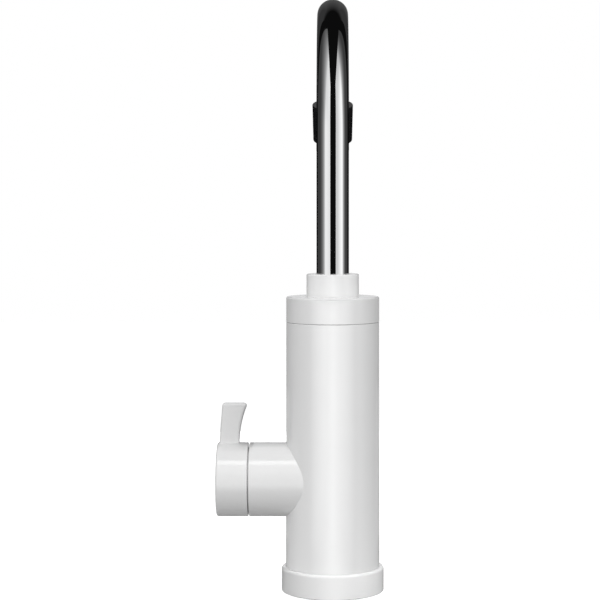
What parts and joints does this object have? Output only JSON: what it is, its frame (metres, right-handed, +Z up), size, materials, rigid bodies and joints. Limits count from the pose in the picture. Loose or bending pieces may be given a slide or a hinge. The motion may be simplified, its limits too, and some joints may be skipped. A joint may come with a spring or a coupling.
{
  "type": "instant hot water tap",
  "caption": "Deck-mounted instant water heater tap: white cylindrical heater body, side valve stub with knob and lever, swivelling chrome gooseneck and black outlet nozzle.",
  "frame": {"origin": "on the deck plane under the base, on the axis of the round body", "axes": "+Z up along the body, -Y to the front where the spout reaches, +X to the handle"},
  "size_m": [0.0981, 0.2061, 0.4054],
  "materials": {
    "white_gloss": "gloss",
    "black_gloss": "gloss",
    "chrome": "polished",
    "brass": "satin",
    "steel": "satin",
    "stainless": "satin",
    "rubber": "matte",
    "ceramic": "satin",
    "white_matte": "satin",
    "grey_matte": "satin",
    "heater_sheath": "satin",
    "button_red": "satin",
    "lead_brown": "satin",
    "lead_blue": "satin"
  },
  "bodies": {
    "tap_body": {"base_cup": "white_gloss", "deck_gasket": "rubber", "base_screws": "steel", "inlet_shank": "brass", "shank_ring": "rubber", "inlet_strainer": "stainless", "cable_bush": "black_gloss", "body_shell": "white_gloss", "top_cap": "white_gloss", "spout_collar": "white_gloss", "valve_block": "white_matte", "disc_seal": "rubber", "fixed_disc": "ceramic", "cartridge_body": "brass", "cartridge_ring": "rubber", "gland_nut": "brass", "diaphragm": "rubber", "switch_cover": "white_matte", "cover_screws": "steel", "plunger_spring": "steel", "micro_switch": "grey_matte", "switch_screws": "steel", "heating_coil": "heater_sheath", "coil_bushes": "rubber", "coil_terminals": "brass", "heating_chamber": "stainless", "chamber_gasket": "rubber", "chamber_lid": "white_matte", "lid_screws": "steel", "transfer_tube": "stainless", "transfer_rings": "rubber", "thermal_cutout": "grey_matte", "cutout_bracket": "steel", "cutout_screws": "steel", "terminal_block": "white_matte", "terminal_screws": "brass", "supply_leads": "lead_blue", "heater_leads": "lead_brown"},
    "handle_group": {"handle": "white_gloss", "handle_screw": "steel", "screw_cap": "white_gloss", "valve_stem": "brass", "stem_ring": "rubber", "stem_clip": "steel", "moving_disc": "ceramic"},
    "spout_group": {"spout_tube": "chrome", "swivel_bush": "white_matte", "spout_rings": "rubber", "retaining_ring": "steel", "nozzle_housing": "black_gloss", "nozzle_seal": "rubber", "aerator_insert": "grey_matte", "aerator_screen": "stainless"},
    "clamp_group": {"clamp_pad": "rubber", "clamp_washer": "steel", "lock_nut": "brass"},
    "plunger_group": {"flow_plunger": "grey_matte"},
    "button_group": {"switch_button": "button_red"}
  },
  "joints": [
    {"name": "spout_swivel", "type": "hinge", "parent": "tap_body", "child": "spout_group", "pos_m": [0, 0, 0.175], "axis": [0, 0, 1], "continuous": true},
    {"name": "handle_turn", "type": "hinge", "parent": "tap_body", "child": "handle_group", "pos_m": [0.059, 0, 0.0658], "axis": [1, 0, 0], "range_deg": [-90, 90]},
    {"name": "plunger_slide", "type": "slide", "parent": "tap_body", "child": "plunger_group", "axis": [-1, 0, 0], "range_m": [0, 0.0012], "stiffness_N_per_m": 800, "springref_m": -0.0005, "deforming": ["plunger_spring", "diaphragm"]},
    {"name": "button_slide", "type": "slide", "parent": "tap_body", "child": "button_group", "axis": [-1, 0, 0], "range_m": [0, 0.0012]},
    {"name": "clamp_slide", "type": "slide", "parent": "tap_body", "child": "clamp_group", "axis": [0, 0, 1], "range_m": [-0.002, 0.018]}
  ],
  "couplings": [
    {"joint": "button_slide", "follows": "plunger_slide", "ratio": 1}
  ]
}
